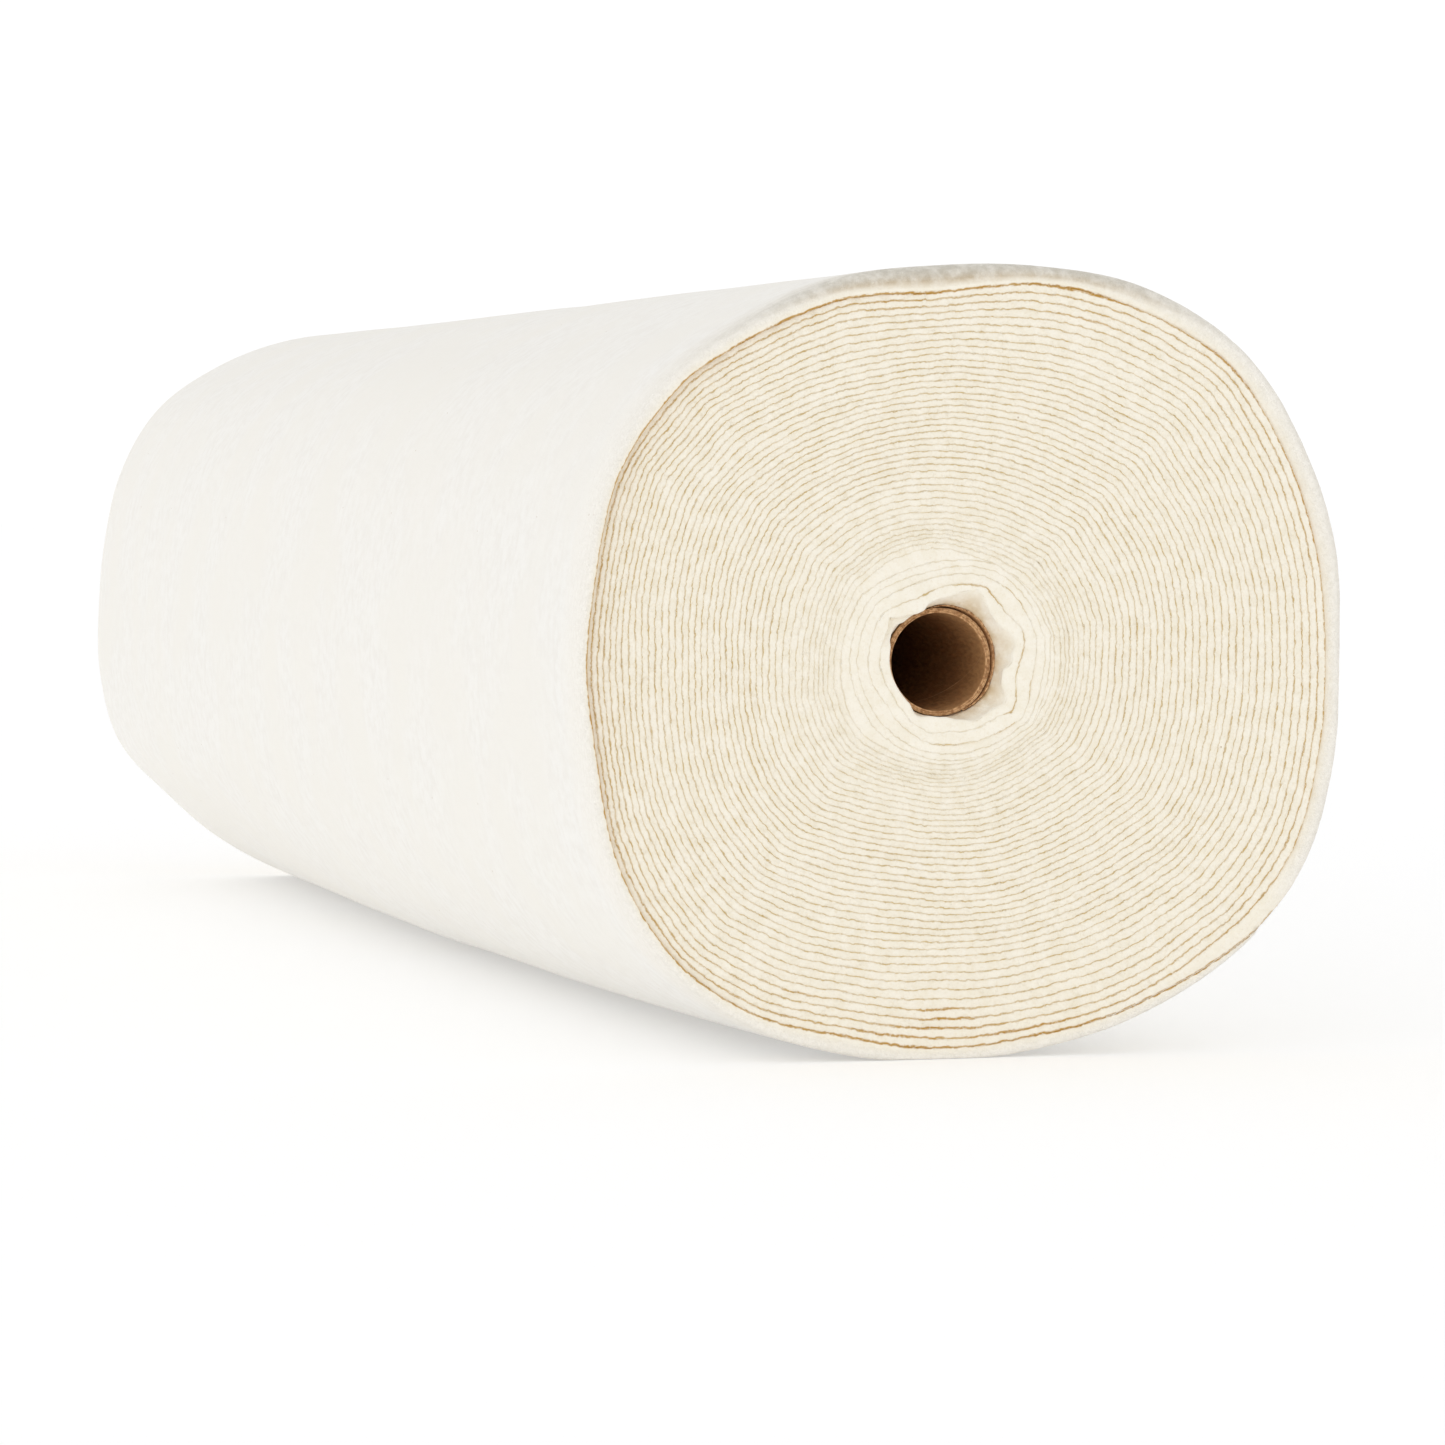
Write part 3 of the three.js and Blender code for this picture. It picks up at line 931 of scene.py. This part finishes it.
def make_fibres(kind, vertices, roots_random, material, lift=None):
    """Loose fibres as thin bent ribbons of three triangles, leaning out along a lift or the normals."""
    count = kind["count"]
    roots, lifts = scatter(vertices, kind["rows"], count, roots_random)
    lifts = lifts if lift is None else np.tile(lift, (count, 1))
    headings = roots_random.normal(0, 1, (count, 3))
    headings = unit(headings - lifts * (headings * lifts).sum(axis=1)[:, None])
    headings = unit(headings + lifts * roots_random.uniform(0, 2 * kind["lift"], (count, 1)))
    random = np.random.default_rng(kind["seed"])
    lengths = random.uniform(0.5, 1.5, (count, 1)) * kind["length"]
    sides = unit(np.cross(headings, lifts + random.normal(0, 0.6, (count, 3)))) * kind["width"] / 2
    bends = np.cross(headings, lifts) * random.normal(0, 0.22, (count, 1))
    roots = roots - lifts * SUNK
    middles = roots + headings * lengths * 0.5 + lifts * lengths * 0.12
    tips = roots + (headings + bends) * lengths + lifts * lengths * 0.05
    vertices = np.stack([roots - sides, roots + sides, middles + sides, middles - sides, tips], axis=1)
    vertices[:, :, 2] = np.maximum(vertices[:, :, 2], 0)
    first = np.arange(count)[:, None] * 5
    faces = [first + np.array([[0, 1, 2, 3]]), first + np.array([[3, 2, 4]])]
    values = {"across": 0.5, "seat_shade": 0, "cut": kind["cut"], "painted_shade": kind["painted_shade"], "fluff": 0}
    values = {key: np.full(5 * count, value) for key, value in values.items()}
    fibres = mesh_object(kind["name"], vertices.reshape(-1, 3), faces, values, material)
    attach(fibres, "root")


# How far over the outside the near rim has its painted grey shade and its fluff, which carries a
# painted highlight, and from which share across the turn
RIM_SHADE = {"reach": 14 * MM, "fading": 0.2, "least_from": 0.85, "earlier": 0.7, "span": 0.3}
FLUFF = {"reach": 17 * MM, "fading": 0.4, "from": 0.15, "full": 0.4}


def cut_part(turn, section):
    """How much of the section is cut edge: the whole near end where the turn is covered."""
    near = (section["along"] == 0) & (section["across"] < 1)
    uncovered = uncovered_part(turn)[:, None]
    return np.where(near, 1 - (1 - section["cut"]) * uncovered, section["cut"])


def rim_share(kind, vertices):
    """1 at the near rim, falling to 0 at the kind's reach over the roll's outside."""
    depth = vertices[:, :, 1] - NEAR_Y
    return 1 - smoothstep(depth, kind["fading"] * kind["reach"], kind["reach"])


def fluffy_rim(turn, section, vertices):
    """How fluffy the outermost turn is, which also brings its painted highlight and the painted shade
    between tufts: most at its round rim, fading over its outside.
    """
    rim = smoothstep(section["across"][None, :], FLUFF["from"], FLUFF["full"])
    return rim * uncovered_part(turn)[:, None] * rim_share(FLUFF, vertices)


def shaded_rim(turn, section, vertices):
    """How much painted grey shade the outermost turn's round rim gets: most at the top, where the least
    light falls, fading over its outside.
    """
    amount = (periodic(LAYERS["painted_shade"], INNER_END_ANGLE + 360 * turn) * uncovered_part(turn))[:, None]
    start = RIM_SHADE["least_from"] - RIM_SHADE["earlier"] * amount
    rim = smoothstep(section["across"][None, :], start, start + RIM_SHADE["span"])
    return amount * rim * rim_share(RIM_SHADE, vertices)


# The inner end is drawn out thin, so the sheet starts a little before its first whole turn
THIN_START = -0.07

# The mesh's steps along the sheet, and where the outermost turn's own strip starts
CORE_STEP = 1.3 * MM
WINDING_STEP = 3.5 * MM
WRAP_STEP = 3 * MM
WRAP_START = TURNS - 1.07

# The places along the sheet between which the outermost turn's lip comes and goes
LIP = {"from": TURNS - 1, "full": TURNS - 0.93, "fading": TURNS - 0.16, "gone": TURNS - 0.04}


def make_sheet(material):
    """The whole sheet: its first turn round the tube, the covered turns, and the outermost one."""
    strips = (
        (THIN_START, 1, CORE_STEP, CORE_TURN_ROWS),
        (1, CORE_TURNS, CORE_STEP, TURN_ROWS),
        (CORE_TURNS, WRAP_START, WINDING_STEP, TURN_ROWS),
        (WRAP_START, TURNS, WRAP_STEP, WRAP_ROWS),
    )
    made, faces, corners, first = [], [], [], 0
    values = {name: [] for name in ("across", "seat_shade", "cut", "painted_shade", "fluff")}
    for start, end, step, rows in strips:
        places = sheet_places(start, end, step)[0]
        section = table(TURN_COLUMNS, rows)
        hugging = end == 1
        lip_share = smoothstep(places, LIP["from"], LIP["full"])
        lip_share *= 1 - smoothstep(places, LIP["fading"], LIP["gone"])
        vertices, marks, strength = sheet_strip(places, section, lip_share, hugging)
        shade = shaded_rim(places, section, vertices)
        fluff = fluffy_rim(places, section, vertices)
        if hugging:
            marks[:, :len(MOUTH_ROWS)] = MOUTH["mark"]
            shade[:, :len(MOUTH_ROWS)] = table(MOUTH_COLUMNS, MOUTH_ROWS)["shade"]
            rounded_end(vertices[::-1], INNER_END_KEEPS)
        if end == TURNS:
            rounded_end(vertices, OUTER_END_KEEPS)
        made.append(vertices)
        faces += strip_faces(len(places), len(section["across"]), first)
        parts = (marks, strength, cut_part(places, section), shade, fluff)
        for group, part in zip(values.values(), parts):
            group.append(part.ravel())
        sharp = np.isin(section["across"], (0, 1)) & (section["depth"] < 1)
        corners.append(np.tile(sharp, len(places)))
        first += vertices.shape[0] * vertices.shape[1]
    values = {name: np.concatenate(group) for name, group in values.items()}
    sheet = mesh_object("batting_sheet", np.concatenate([part.reshape(-1, 3) for part in made]), faces,
                        values, material, np.concatenate(corners))
    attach(sheet, "root")
    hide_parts("batting_roll")
    return made


# The tube's rim from its bore to its outside: the share across the wall, and the depth in from the
# rim in millimetres. The plies part a little between them.
RIM_ROWS = (
    (0.00, 3.0),
    (0.00, 0.9),
    (0.04, 0.25),
    (0.18, 0.0),
    (0.34, 0.15),
    (0.42, 0.5),
    (0.50, 0.12),
    (0.66, 0.0),
    (0.76, 0.4),
    (0.84, 0.1),
    (0.95, 0.2),
    (1.00, 0.8),
    (1.00, 3.0),
)
RIM_SIDES = 240

# The rim is torn over this depth in millimetres, and flares out where it is frayed
RIM = {"torn": 0.9, "flare": 0.5 * MM, "frayed_angle": 45, "frayed_span": 35}


def make_tube(material):
    """The cardboard tube with its fibrous, slightly frayed rims and parted plies."""
    angle = np.linspace(0, 360, RIM_SIDES, endpoint=False)
    rows = RIM_ROWS + RIM_ROWS[::-1]
    half = len(RIM_ROWS)
    vertices = np.zeros((RIM_SIDES, len(rows), 3))
    torn = np.zeros((RIM_SIDES, len(rows)))
    frayed = np.exp(-turned_from(angle, RIM["frayed_angle"]) ** 2 / RIM["frayed_span"] ** 2)
    for index, (across, depth) in enumerate(rows):
        radius = np.full(RIM_SIDES, TUBE_BORE + (TUBE_RADIUS - TUBE_BORE) * across)
        place = section_place(angle, radius)
        rough = noise("tube_rim", place) + noise("tube_rim_broad", place)
        at_rim = max(0.0, 1 - depth / RIM["torn"])
        inset = TUBE_RECESS + (depth + rough * at_rim) * MM
        put_row(vertices, index, angle, radius + frayed * at_rim * across * RIM["flare"],
                NEAR_Y + inset if index < half else FAR_Y - inset)
        torn[:, index] = at_rim
    quads = ring_quads(RIM_SIDES, len(rows), True)
    tube = mesh_object("cardboard_tube", vertices.reshape(-1, 3), [quads], {"cut": torn}, material)
    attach(tube, "root")
    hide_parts("core_tube")


def make_ply(material):
    """The loose outer ply at the tube's near rim, curling off the wall."""
    rows = table(PLY_COLUMNS, PLY_ROWS)
    angle = np.linspace(PLY_ROWS[0][0], PLY_ROWS[-1][0], PLY["sides"])
    edge = line_place(angle * TUBE_RADIUS * math.pi / 180)
    rim = np.interp(angle, rows["angle"], rows["torn"]) * MM
    rim += noise("ply_rim", edge)
    stations = list(np.linspace(0, 1, PLY["stations"]))
    ring = [(share, 0) for share in stations] + [(share, 1) for share in reversed(stations)]
    vertices = np.zeros((len(angle), len(ring), 3))
    torn = np.zeros((len(angle), len(ring)))
    for index, (share, outside) in enumerate(ring):
        thickness = PLY["thickness"] * outside * (1 if share < 1 else PLY["end"])
        radius = TUBE_RADIUS + ply_stand_off(angle, share) + thickness
        y = NEAR_Y + TUBE_RECESS - PLY["proud"] + rim * (1 - share) + PLY["length"] * share
        put_row(vertices, index, angle, radius, y)
        torn[:, index] = 1 if share == 0 else 0.3 * (1 - share)
    ply = mesh_object("loose_ply", vertices.reshape(-1, 3), strip_faces(len(angle), len(ring)),
                      {"cut": torn}, material)
    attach(ply, "root")


# The floor glows a little, so that it stays white in the shade
FLOOR_SURFACE = {"Base Color": (0.86, 0.86, 0.86, 1), "Roughness": 1, "Specular IOR Level": 0,
                 "Emission Color": (1, 1, 1, 1), "Emission Strength": 0.22}


def make_floor():
    """A plain white floor."""
    material = new_material("white_floor", FLOOR_SURFACE)[0]
    bpy.ops.mesh.primitive_plane_add(size=60, location=(0, 0, -0.0002))
    floor = bpy.context.object
    floor.name = "floor"
    floor.data.materials.append(material)


# Where the key light comes from, the light's strengths, and the heights between which the horizon's
# strength goes over into the one overhead
KEY_DIRECTION = (-0.86, -0.38, 0.34)
WORLD = {"overhead": 0.86, "overhead_height": 0.5, "horizon": 1.03, "horizon_height": 0.16,
         "key": 0.15, "key_focus": 2}


def make_world():
    """Soft studio surroundings: white round the horizon, brightest at the left, dimmer overhead."""
    world = bpy.data.worlds.new("studio")
    bpy.context.scene.world = world
    world.use_nodes = True
    tree = world.node_tree
    direction = node(tree, "ShaderNodeTexCoord").outputs["Generated"]
    towards = node(tree, "ShaderNodeVectorMath", {0: direction, 1: KEY_DIRECTION}, operation="DOT_PRODUCT")
    facing = math_node(tree, "MAXIMUM", towards.outputs["Value"], 0)
    key = times(tree, math_node(tree, "POWER", facing, WORLD["key_focus"]), WORLD["key"])
    height = node(tree, "ShaderNodeSeparateXYZ", {"Vector": direction}).outputs["Z"]
    dome = range_node(tree, height, WORLD["horizon_height"], WORLD["overhead_height"],
                      WORLD["horizon"], WORLD["overhead"])
    tree.links.new(plus(tree, dome, key), tree.nodes["Background"].inputs["Strength"])
    tree.nodes["Background"].inputs["Color"].default_value = (1, 1, 1, 1)


CAMERA = {"place": (-0.6959, -2.7831, 0.2232), "pitch": -2.29, "heading": -15.12, "lens": 149}


def make_camera():
    """The camera at the near end's left, a little above the roll's middle."""
    data = bpy.data.cameras.new("camera")
    data.lens = CAMERA["lens"]
    data.clip_start = 0.1
    data.clip_end = 200
    camera = bpy.data.objects.new("camera", data)
    bpy.context.scene.collection.objects.link(camera)
    camera.location = CAMERA["place"]
    camera.rotation_euler = (math.radians(90 + CAMERA["pitch"]), 0, math.radians(CAMERA["heading"]))
    bpy.context.scene.camera = camera


make_camera()
make_world()
make_floor()
bpy.context.scene.view_settings.view_transform = "Standard"

cotton = batting_material()
kraft = cardboard_material()
strips = make_sheet(cotton)
roots_random = np.random.default_rng(ROOTS_SEED)
make_fibres(EDGE_FIBRES, strips[2], roots_random, cotton, lift=(0.0, -1.0, 0.0))
make_fibres(RIM_FIBRES, strips[3], roots_random, cotton)
make_tube(kraft)
make_ply(kraft)
